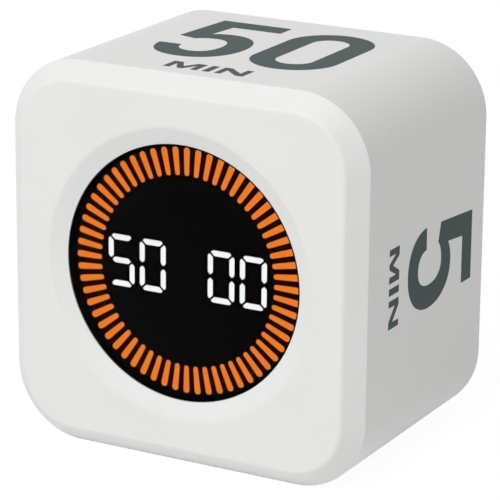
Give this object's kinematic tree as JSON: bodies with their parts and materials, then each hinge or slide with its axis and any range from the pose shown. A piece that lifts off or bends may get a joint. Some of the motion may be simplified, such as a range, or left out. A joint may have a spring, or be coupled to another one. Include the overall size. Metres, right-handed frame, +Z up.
{
  "type": "flip timer",
  "caption": "Square block timer with a round lit display ring and digits, set by the numbered side turned up; push buttons, slide switch and charging port on the back.",
  "frame": {"origin": "middle of the base, on the surface it stands on", "axes": "+Z up, display towards -Y, +X to the right of someone reading the display"},
  "size_m": [0.064, 0.048, 0.064],
  "materials": {
    "white_shell": "fine satin moulding",
    "smoked_lens": "polished smoked acrylic",
    "black_tape": "matt foam tape",
    "reflector_black": "matt",
    "bar_amber": "frosted, lit from behind",
    "digit_white": "frosted, lit from behind",
    "segment_dark": "frosted, unlit",
    "board_black": "black solder mask",
    "board_green": "green solder mask",
    "light_chip": "clear resin over phosphor",
    "chip_black": "moulded resin",
    "screw_steel": "zinc plated",
    "port_steel": "bright stamped sheet",
    "button_grey": "satin moulding",
    "plunger_white": "natural nylon",
    "copper_coil": "enamelled wire",
    "magnet_grey": "pressed ferrite",
    "dust_felt": "woven mesh",
    "rotor_metal": "sintered heavy metal",
    "battery_silver": "laminated foil pouch",
    "connector_white": "natural nylon",
    "lead_red": "soft insulation",
    "lead_black": "soft insulation",
    "ribbon_white": "polyester film"
  },
  "bodies": {
    "casing": {"front_bezel": "white_shell", "body_sleeve": "white_shell", "rear_cover": "white_shell", "cover_screws": "screw_steel", "display_screws": "screw_steel", "board_screws": "screw_steel", "display_lens": "smoked_lens", "lens_tape": "black_tape", "motor_tape": "black_tape", "battery_tape": "black_tape", "reflector": "reflector_black", "minute_bars": "bar_amber", "lit_digit_segments": "digit_white", "unlit_digit_segments": "segment_dark", "display_board": "board_black", "main_board": "board_green", "ring_lights": "light_chip", "digit_lights": "light_chip", "driver_chips": "chip_black", "controller_chip": "chip_black", "gravity_sensor": "chip_black", "charge_chip": "chip_black", "switch_bases": "chip_black", "slide_switch_base": "port_steel", "usb_shell": "port_steel", "usb_tongue": "chip_black", "buzzer_case": "chip_black", "buzzer_base": "port_steel", "buzzer_coil": "copper_coil", "buzzer_magnet": "magnet_grey", "buzzer_diaphragm": "port_steel", "sound_felt": "dust_felt", "motor_can": "port_steel", "motor_base": "port_steel", "motor_shaft": "port_steel", "battery_cell": "battery_silver", "battery_plug": "connector_white", "battery_socket": "connector_white", "battery_lead_red": "lead_red", "battery_lead_black": "lead_black", "ribbon": "ribbon_white", "display_ribbon_socket": "connector_white", "main_ribbon_socket": "connector_white"},
    "start_button": {"start_button": "button_grey", "start_plunger": "plunger_white"},
    "minute_button": {"minute_button": "button_grey", "minute_plunger": "plunger_white"},
    "second_button": {"second_button": "button_grey", "second_plunger": "plunger_white"},
    "slide_knob": {"slide_knob": "button_grey", "slide_lever": "chip_black"},
    "motor_rotor": {"motor_rotor": "rotor_metal"}
  },
  "joints": [
    {"name": "start_press", "type": "slide", "parent": "casing", "child": "start_button", "axis": [0, -1, 0], "range_m": [0, 0.0003], "stiffness_N_per_m": 2000},
    {"name": "minute_press", "type": "slide", "parent": "casing", "child": "minute_button", "axis": [0, -1, 0], "range_m": [0, 0.0003], "stiffness_N_per_m": 2000},
    {"name": "second_press", "type": "slide", "parent": "casing", "child": "second_button", "axis": [0, -1, 0], "range_m": [0, 0.0003], "stiffness_N_per_m": 2000},
    {"name": "mode_slide", "type": "slide", "parent": "casing", "child": "slide_knob", "axis": [1, 0, 0], "range_m": [-0.002, 0.002]},
    {"name": "rotor_spin", "type": "hinge", "parent": "casing", "child": "motor_rotor", "pos_m": [-0.0153, 0.0115, 0.043], "axis": [0, 1, 0], "continuous": true}
  ]
}
